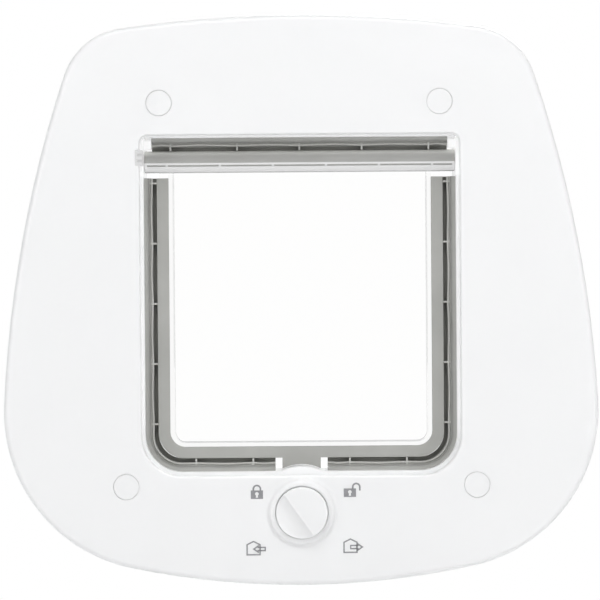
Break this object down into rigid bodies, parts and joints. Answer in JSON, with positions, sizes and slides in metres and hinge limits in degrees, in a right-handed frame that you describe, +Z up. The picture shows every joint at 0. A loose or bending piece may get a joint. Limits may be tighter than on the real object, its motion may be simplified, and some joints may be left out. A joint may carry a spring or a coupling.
{
  "type": "cat flap",
  "caption": "White cat flap with rounded-trapezoid faceplates, a clear swinging flap with grey rubber edging, and a round lock knob below, clamped on both sides of a glass panel.",
  "frame": {"origin": "centre of the panel's round cut-out, on the panel's indoor surface", "axes": "+X to the right as seen from indoors, +Y through the panel to outdoors, +Z up"},
  "size_m": [0.2702, 0.0504, 0.259],
  "materials": {
    "white_plastic": "satin moulded",
    "inner_plastic": "moulded",
    "seal_rubber": "matt",
    "gasket_foam": "fine foam",
    "steel": "plain",
    "magnet": "ground ferrite",
    "clear_plastic": "clear"
  },
  "bodies": {
    "frame": {"inner_frame": "white_plastic", "outer_frame": "white_plastic", "hinge_bearing_left": "white_plastic", "hinge_bearing_right": "white_plastic", "hinge_retainer_left": "white_plastic", "screw_cap_upper_left": "white_plastic", "screw_cap_upper_right": "white_plastic", "screw_cap_lower_left": "white_plastic", "screw_cap_lower_right": "white_plastic", "lock_cover": "white_plastic", "lip_seal_left": "seal_rubber", "lip_seal_right": "seal_rubber", "lip_seal_top": "seal_rubber", "panel_gasket_inner": "gasket_foam", "panel_gasket_outer": "gasket_foam", "frame_screws": "steel", "lock_cover_screws": "steel", "detent_spring": "steel", "frame_magnet": "magnet"},
    "flap": {"flap_panel": "clear_plastic", "flap_border_seal": "seal_rubber", "flap_top_seal": "seal_rubber", "flap_magnet": "magnet", "hinge_pin_left": "steel", "hinge_pin_right": "steel"},
    "lock": {"lock_knob": "white_plastic", "lock_spindle": "inner_plastic", "front_stop_disc": "inner_plastic", "rear_stop_disc": "inner_plastic", "detent_wheel": "inner_plastic", "spindle_circlip": "steel"}
  },
  "joints": [
    {"name": "flap_swing", "type": "hinge", "parent": "frame", "child": "flap", "pos_m": [0, 0.008, 0.0674], "axis": [1, 0, 0], "range_deg": [-85, 85]},
    {"name": "lock_turn", "type": "hinge", "parent": "frame", "child": "lock", "pos_m": [0, -0.012, -0.0924], "axis": [0, -1, 0], "continuous": true, "deforming": ["detent_spring"]}
  ]
}
